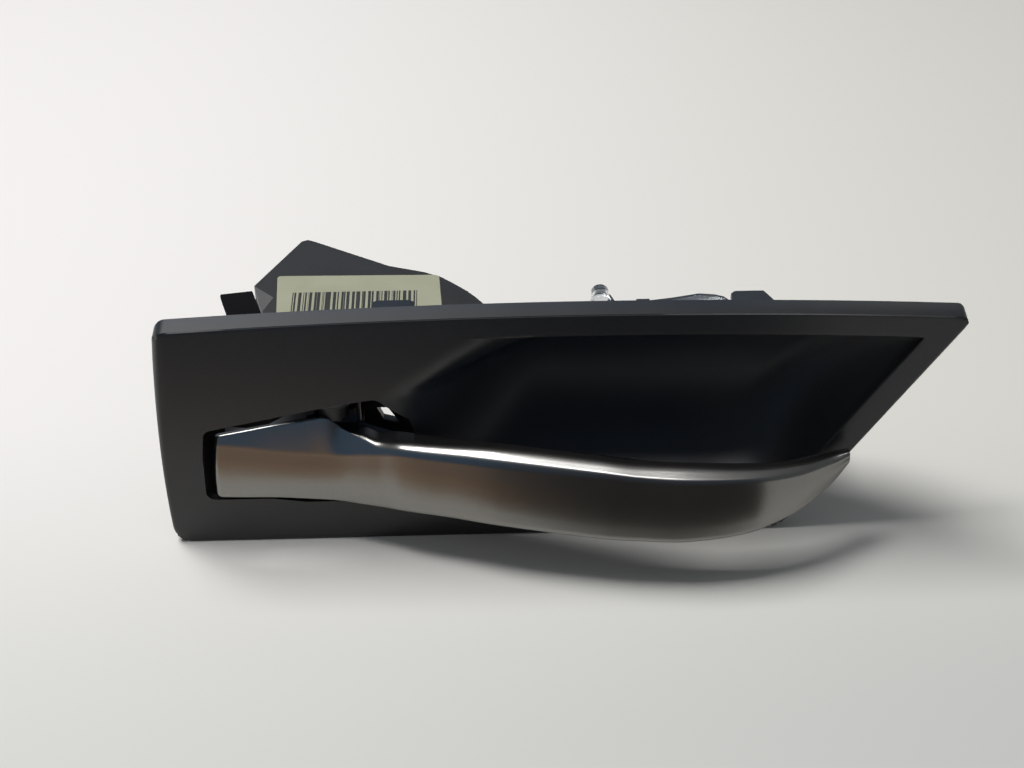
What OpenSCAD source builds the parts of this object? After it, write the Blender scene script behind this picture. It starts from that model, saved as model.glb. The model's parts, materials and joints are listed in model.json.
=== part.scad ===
// Interior door handle of a car: a bezel with a finger bowl, a satin pull lever and its carrier.
// Inside the modules s runs along the bezel from its left end, y into the door from the
// face plane, and z up from the bezel's bottom edge.

/* [Bezel] */
// Height of the bezel at its two ends
bezel_h = 68; // [66.5:0.5:74]
// Length of the bottom edge up to the foot of the slanted end
foot_len = 158.6; // [150:0.2:166]
// How far the slanted end leans out for each millimetre of height
end_lean = 0.617; // [0.55:0.001:0.75]
// How far the left end bows out
left_bow = 3; // [2:0.1:4]
// How far the crowned top edge stands above its ends
crown_rise = 3; // [1:0.5:4]
// Thickness of the bezel's walls
bezel_wall = 2.4; // [2:0.1:3]
// Depth of the rim behind the face plane
rim_depth = 6; // [5.2:0.2:7]
// Rounding along the front edge of the face
face_round = 1.5; // [0.8:0.1:2]
// Corner radius at the bottom left
low_left_r = 5; // [3:0.5:8]
// Corner radius at the top left
top_left_r = 3.5; // [3:0.5:6]
// Corner radius at the pointed top right
tip_r = 2.4; // [2.2:0.1:4]
// Corner radius at the foot of the slanted end
foot_r = 12; // [6:1:18]

/* [Finger bowl] */
// Depth of the bowl behind the face plane
bowl_depth = 24; // [18:0.5:25]
// Width of the plain border above the bowl
top_border = 6.3; // [5.5:0.1:8]
// Width of the plain border along the slanted end
end_border = 8.5; // [7:0.1:10]
// Height of the bowl's lower border
bowl_low = 9; // [7:0.5:12]
// Place where the soft left slope of the bowl begins
bowl_start = 52; // [50:0.5:60]
// Length of the soft left slope
bowl_slope = 42; // [34:1:50]
// Run of the steep curve at the bowl's right end
bowl_end_run = 18; // [12:1:24]

/* [Pocket] */
// Left edge of the opening for the lever
pocket_left = 8.4; // [7.6:0.1:8.8]
// Right end of the opening for the lever
pocket_right = 62.5; // [61:0.5:66]
// Gap below the lever's lower edge
pocket_gap_low = 0.5; // [0.4:0.1:1]
// Gap above the lever's upper edge
pocket_gap_top = 1.9; // [1.5:0.1:2.6]
// Corner radius of the opening
pocket_r = 2.5; // [1.5:0.5:4]

/* [Lever] */
// Place of the lever's short end
lever_start = 11.1; // [10.8:0.1:11.8]
// How far the lever's short end bows out at half its height
lever_end_bow = 1.4; // [1:0.1:1.8]
// Length of the lever from its short end to its tip
lever_len = 160.8; // [150:0.2:166]
// How far the lever bulges in front of the face plane
lever_bulge = 20.9; // [16:0.1:26]
// Height of the lever's lower edge above the base
lever_low = 15; // [14.8:0.1:17]
// Height of the lever's grip
lever_h = 20.2; // [19:0.1:21]
// Wall of the plated shell
shell_wall = 1.3; // [1:0.1:1.5]
// Rounding of the shell's lower edge
shell_round = 2; // [1.6:0.1:2.6]
// Gap between the shell and the core in it
shell_gap = 0.15; // [0.1:0.05:0.3]

/* [Pivot] */
// Distance from the bezel's left end to the pivot
pivot_s = 41; // [40.5:0.1:42]
// Depth of the pivot behind the face plane
pivot_y = 9; // [8.8:0.1:10]
// Radius of the pivot pin
pin_r = 2.5; // [2:0.1:2.8]
// Radius of the lever's hub
hub_r = 7; // [6.4:0.1:7.2]
// Wall of the hub's bushes
bush_wall = 1.4; // [1:0.1:1.8]
// Thickness of a bush's flange
flange_t = 1.2; // [0.8:0.1:1.4]
// Thickness of the thrust washer
washer_t = 1; // [0.6:0.1:1.2]
// Thickness of the push-on clip
clip_t = 1.1; // [0.8:0.1:1.4]

/* [Return spring] */
// Diameter of the spring wire
wire_d = 1.5; // [1.2:0.1:1.7]
// Mean radius of the coil
coil_r = 4.6; // [4.3:0.1:4.9]
// Rise for each turn
coil_pitch = 1.75; // [1.7:0.05:1.9]

/* [Carrier] */
// How far the carrier's top face lies below the bezel's height
roof_drop = 2; // [1.6:0.1:2.6]
// Thickness of the top plate
roof_t = 3; // [2:0.1:3.4]
// Thickness of the bottom plate
floor_t = 3; // [2:0.1:3.4]
// Depth of the carrier's rear point behind the face plane
carrier_reach = 43.1; // [41:0.1:46]
// Depth of the spine wall's front side
spine_y = 24.5; // [24.4:0.1:26]
// Thickness of the spine wall
spine_t = 2.5; // [2:0.1:3]
// Thickness of the rear walls
rear_wall = 2.2; // [1.8:0.1:2.6]
// Thickness of the upper pivot lug
upper_lug_t = 7; // [6.5:0.1:8]
// Thickness of the lower pivot lug
lower_lug_t = 5; // [4:0.1:5.6]

/* [Fixings] */
// Thread radius of the small screws
screw_r = 1.5; // [1.2:0.1:1.7]
// Head radius of the small screws
screw_head_r = 2.9; // [2.6:0.1:3.2]
// Head height of the small screws
screw_head_h = 1.9; // [1.5:0.1:2.2]
// Radius of the screw bosses
boss_r = 3.6; // [3.4:0.1:3.9]
// Outer radius of the brass fixing inserts
insert_r = 3.2; // [2.9:0.1:3.4]
// Bore radius of the brass fixing inserts
insert_bore_r = 2.1; // [1.8:0.05:2.3]
// Length of the brass fixing inserts
insert_len = 8; // [6:0.5:9]
// Radius of the seat for the release cable's end
cable_seat_r = 3; // [2.5:0.1:3.2]

/* [Light guide] */
// Radius of the round stub that takes the lamp
stub_r = 2.1; // [1.8:0.1:2.3]
// Depth that the stub reaches behind the face plane
stub_reach = 13.4; // [13:0.1:16]
// Thickness of the clear strip
guide_t = 1.5; // [1.2:0.1:1.5]

/* [Label and felt] */
// Length of the blank label
label_len = 40.8; // [36:0.2:42]
// Width of the blank label
label_w = 17.4; // [14:0.2:17.6]
// Thickness of the label
label_t = 0.2; // [0.1:0.05:0.3]
// Thickness of the felt strip
felt_t = 1.6; // [1:0.1:2]

/* [Clearances] */
// Radial running clearance of the pin in its bushes
run_clear = 0.03; // [0.02:0.01:0.08]
// Radial clearance of pieces pressed or pushed together
fit_clear = 0.02; // [0.01:0.01:0.05]
// Gap between loosely seated pieces
seat_gap = 0.3; // [0.2:0.05:0.4]

/* [Hidden] */
$fn = 48;

// Colours
black_plastic = [0.19, 0.19, 0.2];
carrier_black = [0.24, 0.24, 0.25];
satin_metal = [0.55, 0.53, 0.5];
core_black = [0.08, 0.08, 0.09];
steel = [0.7, 0.7, 0.72];
brass = [0.78, 0.66, 0.36];
bush_white = [0.85, 0.85, 0.8];
rubber_black = [0.1, 0.1, 0.1];
clear_plastic = [0.8, 0.84, 0.85, 0.6];
label_cream = [0.78, 0.77, 0.66];
felt_black = [0.07, 0.07, 0.08];

// Bezel outline
end_slant = sqrt(1 + end_lean * end_lean);
point_s = foot_len + end_lean * bezel_h;
tip_half = atan2(1, end_lean) / 2;
right_most = point_s - tip_r * (1 / tan(tip_half) - 1);
left_x = -(right_most - left_bow) / 2;
bow_z = 0.309 * bezel_h;
bow_reach = 0.787 * bezel_h;
face_y = (lever_bulge - carrier_reach) / 2;

// Where the bowl's left slope starts to lean, and by how much for each millimetre of height
bowl_bend_z = bezel_h - 22;
bowl_lean = 1.2;

// Heights on the pivot axis
lug_low_top = lever_low - 1.7;
washer_z = lug_low_top + seat_gap;
low_flange_z = washer_z + washer_t;
hub_low = low_flange_z + flange_t;
hub_top = lever_low + 25.7;
lug_up_low = hub_top + flange_t + seat_gap;
bush_r = pin_r + run_clear + bush_wall;
bush_len = 5;
flange_r = bush_r + 1.7;
spring_room_low = hub_low + bush_len + 0.4;
spring_room_top = spring_room_low + 12;
pin_blind = 1.2;
pin_top = lug_up_low + upper_lug_t - pin_blind - 0.2;
pin_low = lug_low_top - lower_lug_t - clip_t - 1;
lug_r = pin_r + 4;

// Release arm on the lever's hub
arm_len = 20;
arm_w = 6;
arm_t = 5;
arm_z = hub_top - 6.2;
arm_end_r = arm_w / 2;
arm_room = 1.5;

// Carrier
roof_z = bezel_h - roof_drop;
spine_s = 24.9;
spine_len = 38;
spine_low_s = spine_s + 25.1;
spine_low_top = lever_low + 15;
spine_window = [[51, 24.5], [53.9, 24.4], [57.2, 18.8], [52.7, 20.3]];
ear_y = 9;
ear_t = 3;
ear_w = 8;
upper_screw_z = roof_z - 9;
upper_screws = [[30, upper_screw_z], [54.5, upper_screw_z]];
lower_screws = [[24, 7.5], [57, 7.5]];
left_corner = [22.3, 22.5];
apex_path = [[33, carrier_reach - 0.7], [34.6, carrier_reach], [36.4, carrier_reach - 0.9]];
rear_path = [[56, carrier_reach - 12.8], [65.1, carrier_reach - 15.9], [69.3, carrier_reach - 18.2],
             [72.6, 21.8], [75.8, 18.5], [78, 15.7], [79.8, 12.9], [81, 7]];
roof_path = concat([[25.6, 7], [25.3, 11.8], left_corner], apex_path, rear_path);
guard_wall = [[24.4, 25], [11.4, 26.4], [7.2, 13.5], [7.2, bezel_wall + seat_gap]];
guard_t = 1.8;
guard_low = bezel_wall + seat_gap;
guard_top = lever_low + 18;
floor_path = concat([[5.4, 7], [5.4, 13.9], [10, 28.1], [24.6, 26.6]], apex_path,
                    [[41, 35], [52, 27.5], [63, 27.5], [65, 7]]);
left_wall = [left_corner, apex_path[0]];
right_wall = concat(apex_path, [for (k = [0:4]) rear_path[k]]);
right_wall_low = roof_z - 16;
cable_z = arm_z + arm_t / 2;
cable_y = pivot_y + arm_len;
cable_seat_s = 22;
cable_seat_len = 6;

// Stops
notch_s = pivot_s - arm_w / 2 - 3;
bumper_r = 3.5;
bumper_s = spine_s + bumper_r + 3.1;
bumper_z = lever_low + 12;
bumper_front = 15.6;
bumper_neck_r = 1.8;
bumper_back_r = 2.3;
bumper_grip = 1.3;

// Fixing points
front_fix = [33, 17];
rear_fix = [152, 40];
rear_fix_reach = 36;
fix_boss_r = insert_r + 1.8;
shell_screw_s = [84, 128];
shell_screw_z = lever_low + 9;
shell_screw_r = 1.2;
shell_head_r = 2.2;
shell_head_h = 1.4;

// Lever sections. Each row holds the place along the lever, then for that place: the forward
// sweep as a share of the bulge, the rise of the lower edge, the crease's setback and height
// share, the ridge's setback and height share, the top's depth behind the ridge, the
// underside's depth and the core's depth behind the front.
sections = [
    [0,     0.015, 0.6,  0,    0.95,  0.45, 1,     3,   3.4, 7.8],
    [14.2,  0.015, 0.1,  0,    1.11,  0.45, 1.155, 3,   3.4, 7.8],
    [22.2,  0.02,  -0.4, 0,    0.866, 0.6,  1.243, 3,   3.4, 7.9],
    [29.2,  0.04,  -1,   -0.1, 0.708, 1.3,  1.317, 2.6, 3.6, 8.6],
    [36.2,  0.14,  -0.9, 0,    0.767, 1.5,  1.06,  3.6, 5,   9.5],
    [41.2,  0.23,  -0.6, -0.3, 0.856, 0.9,  1,     4.6, 6,   9.5],
    [47.2,  0.35,  -0.4, -0.3, 0.911, 1.5,  1,     4.8, 7,   9.5],
    [72.2,  0.7,   -0.3, 2.2,  0.891, 4.5,  1,     4.6, 8.6, 10.4],
    [97.2,  0.928, -0.7, 3.3,  0.9,   5.7,  1,     4,   8.2, 10.4],
    [119.2, 1,     -0.8, 1.3,  0.916, 3.3,  1,     3.6, 7.2, 8.6],
    [135.2, 0.9,   0.3,  0,    0.886, 1.2,  0.975, 2.8, 5.2, 6.4],
    [147.2, 0.684, 3.2,  -0.8, 0.832, 0,    0.92,  2.1, 3.2, 4.6],
    [156.2, 0.416, 7,    -1.3, 0.787, -0.8, 0.856, 1.5, 1.9, 3],
    [160.8, 0.282, 12,   -0.4, 0.757, 0,    0.807, 0.8, 1.2, 2.2]
];
lever_scale = lever_len / sections[len(sections) - 1][0];
end_round = 1.5;
lever_steps = 42;

function unit(v) = v / norm(v);
function clamp(v, low, high) = min(max(v, low), high);
function mix(a, b, t) = a + (b - a) * t;
function smooth(t) = let (c = clamp(t, 0, 1)) c * c * (3 - 2 * c);

// Arc that rounds corner b of a path from a to c
function corner(a, b, c, r, n = 6) =
    let (u = unit(a - b),
         w = unit(c - b),
         half = acos(u * w) / 2,
         mid = b + unit(u + w) * r / sin(half),
         first = b + u * r / tan(half) - mid,
         start = atan2(first[1], first[0]),
         way = cross(b - a, c - b) > 0 ? 1 : -1)
    [for (i = [0:n]) mid + r * [cos(start + way * (180 - 2 * half) * i / n),
                                sin(start + way * (180 - 2 * half) * i / n)]];

// Closed path with each corner rounded by its own radius
function rounded(path, radii) =
    let (n = len(path))
    [for (i = [0:n - 1])
        each radii[i] > 0 ? corner(path[(i + n - 1) % n], path[i], path[(i + 1) % n], radii[i])
                          : [path[i]]];

// Bezel surface
function end_s(z) = foot_len + end_lean * z;
function left_s(z) = -left_bow * (1 - pow((z - bow_z) / bow_reach, 2));
function top_z(s) = bezel_h + crown_rise * (1 - pow((s - point_s / 2) / (point_s / 2), 2));

function bezel_outline(inset) =
    let (high = bezel_h - inset,
         right = end_s(high) - inset * end_slant,
         crown = [for (t = [0.84:-0.12:-0.86]) mix(inset, right, (t + 1) / 2)],
         bow = [for (t = [0.85:-0.1:0.14]) t * bezel_h],
         path = concat([[left_s(inset) + inset, inset], [end_s(inset) - inset * end_slant, inset],
                        [right, high]],
                       [for (s = crown) [s, top_z(s) - inset]], [[left_s(high) + inset, high]],
                       [for (z = bow) [left_s(z) + inset, z]]),
         radii = concat([low_left_r - inset, foot_r - inset, max(tip_r - inset, 0.2)],
                        [for (s = crown) 0], [top_left_r - inset], [for (z = bow) 0]))
    rounded(path, radii);

// Share of the bowl's full depth at a point, with its border grown outwards
function bowl_share(s, z, top, grow) =
    let (high = top - top_border + grow,
         low = bowl_low - grow,
         t = (2 * z - high - low) / (high - low),
         run = (end_s(z) - end_border + grow - s) / (bowl_end_run + grow),
         start = bowl_start + bowl_lean * max(0, z - bowl_bend_z))
    abs(t) >= 1 || run <= 0 ? 0
        : sqrt(1 - t * t) * sqrt(1 - pow(1 - min(run, 1), 2)) * smooth((s - start) / bowl_slope);

function edge_drop(d) = d >= face_round ? 0
    : face_round - sqrt(face_round * face_round - pow(face_round - max(d, 0), 2));

// Columns of the face: measured from the left end, spread across the middle, or from the slanted end
bow_fade = 24;
left_cols = [-0.5, 0.15, 0.6, face_round, 8, 16, bow_fade, 32, 40, 47, 54, 60, 66, 72, 78, 84, 90, 96];
mid_cols = [0.25, 0.5, 0.75];
end_cols = [end_border + 24, end_border + bowl_end_run, end_border + 13, end_border + 9,
            end_border + 5.6, end_border + 2.8, end_border + 0.9, end_border,
            end_border - 0.5 * bezel_wall, end_border - bezel_wall, face_round * end_slant,
            0.6 * end_slant, 0.15 * end_slant, -0.5];
low_rows = [-0.5, 0.15, 0.6, face_round, 4.2, bowl_low - bezel_wall, bowl_low - 0.4 * bezel_wall];
bowl_rows = [-1, -0.985, -0.93, -0.8, -0.6, -0.35, 0, 0.35, 0.6, 0.8, 0.93, 0.985, 1];
top_rows = [top_border - 0.4 * bezel_wall, top_border - bezel_wall, face_round, 0.6, 0.15, -0.5];
cols = len(left_cols) + len(mid_cols) + len(end_cols);
rows = len(low_rows) + len(bowl_rows) + len(top_rows);

function col_s(i, z) =
    let (a = len(left_cols), b = a + len(mid_cols), last = left_cols[a - 1])
    i < a ? left_cols[i] + left_s(z) * max(0, 1 - left_cols[i] / bow_fade)
    : i < b ? mix(last, end_s(z) - end_cols[0], mid_cols[i - a])
    : end_s(z) - end_cols[i - b];

function row_z(j, top) =
    let (a = len(low_rows), b = a + len(bowl_rows), high = top - top_border)
    j < a ? low_rows[j]
    : j < b ? mix(bowl_low, high, (bowl_rows[j - a] + 1) / 2)
    : top - top_rows[j - b];

function face_point(i, j, back) =
    let (top = top_z(col_s(i, bezel_h)),
         z = row_z(j, top),
         s = col_s(i, z),
         d = min(s - left_s(z), (end_s(z) - s) / end_slant, z, top - z))
    [s, back ? bezel_wall + bowl_depth * bowl_share(s, z, top, bezel_wall)
             : edge_drop(d) + bowl_depth * bowl_share(s, z, top, 0), z];

function grid_faces(a, b, m, flip) =
    [for (i = [0:a - 2]) for (j = [0:b - 2])
        let (p = m + i * b + j, q = p + b)
        each flip ? [[p, q, q + 1], [p, q + 1, p + 1]] : [[p, q + 1, q], [p, p + 1, q + 1]]];

module bezel_skin() {
    n = cols * rows;
    points = concat([for (i = [0:cols - 1]) for (j = [0:rows - 1]) face_point(i, j, false)],
                    [for (i = [0:cols - 1]) for (j = [0:rows - 1]) face_point(i, j, true)]);
    low_side = [for (i = [0:cols - 2]) let (p = i * rows, q = p + rows)
        each [[p, q + n, q], [p, p + n, q + n]]];
    top_side = [for (i = [0:cols - 2]) let (p = i * rows + rows - 1, q = p + rows)
        each [[p, q, q + n], [p, q + n, p + n]]];
    left_side = [for (j = [0:rows - 2]) each [[j, j + 1, j + 1 + n], [j, j + 1 + n, j + n]]];
    right_side = [for (j = [0:rows - 2]) let (p = (cols - 1) * rows + j)
        each [[p, p + 1 + n, p + 1], [p, p + n, p + 1 + n]]];
    polyhedron(points, concat(grid_faces(cols, rows, 0, false), grid_faces(cols, rows, n, true),
                              low_side, top_side, left_side, right_side), convexity = 6);
}

// Lever section at a place along the lever, as the row's values smoothly joined
function section_row(u, k = 0) =
    k >= len(sections) - 2 || u < sections[k + 1][0] ? k : section_row(u, k + 1);
function section_slope(k, c) =
    let (a = max(k - 1, 0), b = min(k + 1, len(sections) - 1))
    (sections[b][c] - sections[a][c]) / (sections[b][0] - sections[a][0]);
function section_value(u, c) =
    let (k = section_row(u), h = sections[k + 1][0] - sections[k][0], t = (u - sections[k][0]) / h)
    (2 * t * t * t - 3 * t * t + 1) * sections[k][c] + (t * t * t - 2 * t * t + t) * h * section_slope(k, c)
    + (3 * t * t - 2 * t * t * t) * sections[k + 1][c] + (t * t * t - t * t) * h * section_slope(k + 1, c);

// Outer line of the shell from its lower back edge, round the front, to its upper back edge
function shell_line(u) =
    let (v = [for (c = [0:9]) c == 0 ? u : section_value(u, c)],
         pull = u >= end_round ? 0 : end_round - sqrt(end_round * end_round - pow(end_round - u, 2)),
         front = -lever_bulge * v[1] + pull,
         low = lever_low + v[2] + pull,
         crease = [front + v[3], lever_low + lever_h * v[4] - pull * 0.6],
         ridge = [front + v[5], lever_low + lever_h * v[6] - pull * 0.6],
         r = min(shell_round, 0.25 * (crease[1] - low), 0.5 * v[8]))
    [[front + v[8] - pull * 0.6, low],
     [front + r, low],
     [front + 0.3 * r, low + 0.3 * r],
     [front, low + r],
     [(front + crease[0]) / 2 - 0.4, (low + crease[1]) / 2],
     crease,
     [mix(crease[0], ridge[0], 0.36), mix(crease[1], ridge[1], 0.62)],
     ridge,
     [ridge[0] + v[7] - pull * 0.6, ridge[1] - 0.1]];

function line_normal(line, k) =
    let (a = line[max(k - 1, 0)], b = line[min(k + 1, len(line) - 1)], d = unit(b - a)) [d[1], -d[0]];
function inward(line, t) = [for (k = [0:len(line) - 1]) line[k] + t * line_normal(line, k)];
function wall_at(u) = min(shell_wall, 0.3 * section_value(u, 8));

function end_shift(u, z) = -lever_end_bow * max(0, 1 - u / 14.2) * (1 - pow((z - lever_low - 4) / 17.3, 2));
function lever_place(u, p) = [lever_start + u * lever_scale + end_shift(u, p[1]), p[0], p[1]];

lever_cuts = concat([0, 0.3, 0.8, end_round],
                    [for (i = [1:lever_steps]) mix(end_round, sections[len(sections) - 1][0],
                                                   1 - pow(1 - i / lever_steps, 1.15))]);
cavity_cut = 3;

module shell_skin() {
    m = 9;
    n = len(lever_cuts);
    shift = n * m;
    c = cavity_cut * m;
    b = c - m;
    outer = [for (u = lever_cuts) for (p = shell_line(u)) lever_place(u, p)];
    inner = [for (u = lever_cuts) for (p = inward(shell_line(u), wall_at(u))) lever_place(u, p)];
    end_wall = [for (k = [1:m - 2]) [0, k + 1, k]];
    outside = [for (i = [0:n - 2]) for (k = [0:m - 2])
        let (p = i * m + k, q = p + m) each [[p, q + 1, q], [p, p + 1, q + 1]]];
    inside = [for (i = [cavity_cut:n - 2]) for (k = [0:m - 2])
        let (p = shift + i * m + k, q = p + m) each [[p, q, q + 1], [p, q + 1, p + 1]]];
    low_edge = [for (i = [cavity_cut:n - 2])
        let (p = i * m, q = p + m) each [[p, q, q + shift], [p, q + shift, p + shift]]];
    top_edge = [for (i = [cavity_cut:n - 2])
        let (p = i * m + m - 1, q = p + m) each [[p, q + shift, q], [p, p + shift, q + shift]]];
    tip = [for (k = [0:m - 2])
        let (p = (n - 1) * m + k) each [[p, p + 1, p + 1 + shift], [p, p + 1 + shift, p + shift]]];
    end_back = [for (i = [0:cavity_cut - 2])
        let (p = i * m, q = p + m) each [[p, q, q + m - 1], [p, q + m - 1, p + m - 1]]];
    room_back = [[b, c, c + shift], [b, c + shift, c + shift + m - 1],
                 [b, c + shift + m - 1, b + m - 1], [b + m - 1, c + shift + m - 1, c + m - 1]];
    room_end = [for (k = [1:m - 2]) [shift + c, shift + c + k, shift + c + k + 1]];
    polyhedron(concat(outer, inner),
               concat(end_wall, outside, inside, low_edge, top_edge, tip, end_back, room_back, room_end),
               convexity = 6);
}

// Black core: the shell's inner line closed by a flat back
function core_line(u) =
    let (line = inward(shell_line(u), wall_at(u) + shell_gap),
         back = section_value(u, 9) - lever_bulge * section_value(u, 1))
    concat([[back, line[0][1]]], line, [[back, line[len(line) - 1][1]]]);

module core_skin() {
    cuts = concat([end_round + 0.4], [for (i = [cavity_cut + 1:len(lever_cuts) - 1]) lever_cuts[i]]);
    m = 11;
    n = len(cuts);
    points = [for (u = cuts) for (p = core_line(u)) lever_place(u, p)];
    last = (n - 1) * m;
    polyhedron(points,
               concat([for (k = [1:m - 2]) [0, k + 1, k]],
                      [for (i = [0:n - 2]) for (k = [0:m - 1])
                          let (p = i * m, q = p + m, l = (k + 1) % m)
                          each [[p + k, q + l, q + k], [p + k, p + l, q + l]]],
                      [for (k = [1:m - 2]) [last, last + k, last + k + 1]]),
               convexity = 6);
}

function lever_front(s) = -lever_bulge * section_value((s - lever_start) / lever_scale, 1);
function core_back(s) = lever_front(s) + section_value((s - lever_start) / lever_scale, 9);

// Simple shapes in the bezel's own directions
module place() {
    translate([left_x, face_y, 0]) children();
}

module slab(y0, y1) {
    translate([0, y1, 0]) rotate([90, 0, 0]) linear_extrude(y1 - y0) children();
}

module rod(s, z, y0, y1, r) {
    translate([s, y0, z]) rotate([-90, 0, 0]) cylinder(h = y1 - y0, r = r);
}

module block(s0, s1, y0, y1, z0, z1) {
    translate([s0, y0, z0]) cube([s1 - s0, y1 - y0, z1 - z0]);
}

module plate(z0, z1, path) {
    translate([0, 0, z0]) linear_extrude(z1 - z0) polygon(path);
}

module post(z0, z1, r) {
    translate([pivot_s, pivot_y, z0]) cylinder(h = z1 - z0, r = r);
}

// Bezel
tab_z = top_z(57) - 1.3;
tab_t = 1.7;
first_tab = [[52.4, 4], [62.8, 4], [62.8, 10.1], [61.6, 10.9], [53.6, 10.9], [52.4, 10.1]];
second_tab = [[140.9, 4], [152.4, 4], [151.6, 7], [149.2, 11.9], [142, 11.9], [140.9, 10.8]];
felt_rest = [[17.2, bezel_wall - 0.4], [24.2, bezel_wall - 0.4], [24, 11.7], [21.2, 20.2], [14.8, 18.8],
             [17.2, 10.7]];
felt_rest_t = 2;
felt_path = [[17.6, 7.4], [24.7, 7.4], [24.6, 11.9], [22, 20.6], [14, 19.3], [16.6, 10.5]];
label_corner = [27.9, 26.4];
label_turn = -1.8;
guide_z = bezel_h - 1;
guide_path = [[104.4, rim_depth + seat_gap], [140.4, rim_depth + seat_gap], [140.4, 8.8],
              [139.1, 10.5], [136.9, 11.4], [133.2, 11.9], [129.3, 11], [126.2, 10.3], [120.8, 9.4],
              [117, 8.4], [104.4, 8.4]];
stub_s = 108.7;
stub_z = guide_z + 1.7;
collar_r = stub_r + 0.5;
collar_back = 9;
guide_rests = [114, 130, 136.5];
guide_hooks = [[117.2, 2.2], [136.5, 0.9]];

pocket_path = let (low = lever_low - pocket_gap_low, high = lever_low + lever_h + pocket_gap_top)
    [[pocket_left - 1.2, low], [24, low], [33, low - 1.4], [pocket_right, low - 1.4],
     [pocket_right, low + 15.5], [pocket_right - 2, low + 23.5], [pocket_right - 10, high + 9.4],
     [42.3, high + 7.7], [pocket_left + 0.2, high + 0.1], [pocket_left - 0.8, low + 14]];

module bezel() {
    color(black_plastic) place() difference() {
        union() {
            intersection() {
                union() {
                    bezel_skin();
                    slab(bezel_wall - 0.4, rim_depth) difference() {
                        translate([-left_bow - 1, -1])
                            square([point_s + left_bow + 2, bezel_h + crown_rise + 3]);
                        polygon(bezel_outline(bezel_wall));
                    }
                }
                slab(-1, bowl_depth + bezel_wall + 1) polygon(bezel_outline(0));
            }
            for (p = concat(upper_screws, lower_screws)) {
                rod(p[0], p[1], bezel_wall - 0.4, ear_y, boss_r);
            }
            rod(rear_fix[0], rear_fix[1], bowl_depth + 0.8, rear_fix_reach, fix_boss_r);
            plate(tab_z - tab_t, tab_z, first_tab);
            plate(tab_z - tab_t, tab_z, second_tab);
            plate(roof_z - felt_t - felt_rest_t, roof_z - felt_t, felt_rest);
            for (s = guide_rests) block(s, s + 3, 3, 8, guide_z - 2.5, guide_z);
            for (h = guide_hooks) {
                block(h[0], h[0] + 3.4, rim_depth - 0.5, rim_depth + h[1], guide_z + guide_t,
                      guide_z + guide_t + 1.4);
            }
        }
        slab(-1, 12) polygon(rounded(pocket_path, [for (p = pocket_path) pocket_r]));
        for (p = concat(upper_screws, lower_screws)) {
            rod(p[0], p[1], bezel_wall + 0.8, ear_y + 1, screw_r + fit_clear);
        }
        rod(rear_fix[0], rear_fix[1], rear_fix_reach - insert_len - 0.5, rear_fix_reach + 1,
            insert_r + fit_clear);
    }
}

// Carrier
function strip(path, t) = let (n = len(path), side = inward(path, t))
    concat(path, [for (i = [n - 1:-1:0]) side[i]]);

module lug(z0, z1) {
    post(z0, z1, lug_r);
    block(pivot_s - lug_r, pivot_s + lug_r, pivot_y, spine_y + 0.5, z0, z1);
}

module carrier() {
    color(carrier_black) place() difference() {
        union() {
            plate(roof_z - roof_t, roof_z, roof_path);
            plate(0, floor_t, floor_path);
            block(spine_s, spine_low_s, spine_y, spine_y + spine_t, floor_t - 0.5,
                  roof_z - roof_t + 0.5);
            block(spine_s, spine_s + spine_len, spine_y, spine_y + spine_t, floor_t - 0.5,
                  spine_low_top);
            plate(guard_low, guard_top, strip(guard_wall, guard_t));
            plate(floor_t - 0.5, roof_z - roof_t + 0.5, strip(left_wall, rear_wall));
            plate(right_wall_low, roof_z - roof_t + 0.5, strip(right_wall, rear_wall));
            lug(lug_low_top - lower_lug_t, lug_low_top);
            lug(lug_up_low, lug_up_low + upper_lug_t);
            for (p = upper_screws) {
                block(p[0] - ear_w / 2, p[0] + ear_w / 2, ear_y, ear_y + ear_t, p[1] - 4,
                      roof_z - roof_t + 0.5);
            }
            for (p = lower_screws) {
                block(p[0] - ear_w / 2, p[0] + ear_w / 2, ear_y, ear_y + ear_t, floor_t - 0.5, p[1] + 4);
            }
            rod(front_fix[0], front_fix[1], spine_y + 1, carrier_reach, fix_boss_r);
            translate([cable_seat_s, cable_y, cable_z]) rotate([0, 90, 0])
                cylinder(h = 9, r = cable_seat_r + 2);
            block(pivot_s + coil_r + wire_d / 2, pivot_s + coil_r + wire_d / 2 + 1.4, spine_y - 6,
                  spine_y + 0.5, spring_z - 3, spring_z + 3);
        }
        post(lug_low_top - lower_lug_t - 1, lug_low_top + 1, pin_r + fit_clear);
        post(-1, floor_t + 1, pin_r + 1.5);
        post(lug_up_low - 1, pin_top + 0.2, pin_r + fit_clear);
        block(notch_s, spine_low_s + 1, spine_y - 1, spine_y + spine_t + 1, arm_z - arm_room,
              arm_z + arm_t + arm_room);
        slab(spine_y - 1, spine_y + spine_t + 1) polygon(spine_window);
        rod(bumper_s, bumper_z, spine_y - 1, spine_y + spine_t + 1, bumper_neck_r);
        for (p = concat(upper_screws, lower_screws)) {
            rod(p[0], p[1], ear_y - 1, ear_y + ear_t + 1, screw_r + 0.2);
        }
        rod(front_fix[0], front_fix[1], carrier_reach - insert_len - 0.5, carrier_reach + 1,
            insert_r + fit_clear);
        translate([cable_seat_s - 1, cable_y, cable_z]) rotate([0, 90, 0])
            cylinder(h = cable_seat_len + 1, r = cable_seat_r);
        translate([cable_seat_s, cable_y, cable_z]) rotate([0, 90, 0]) cylinder(h = 12, r = 1.1);
    }
}

// Lever
function screw_web(s) = core_back(s) - 3.8;

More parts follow.
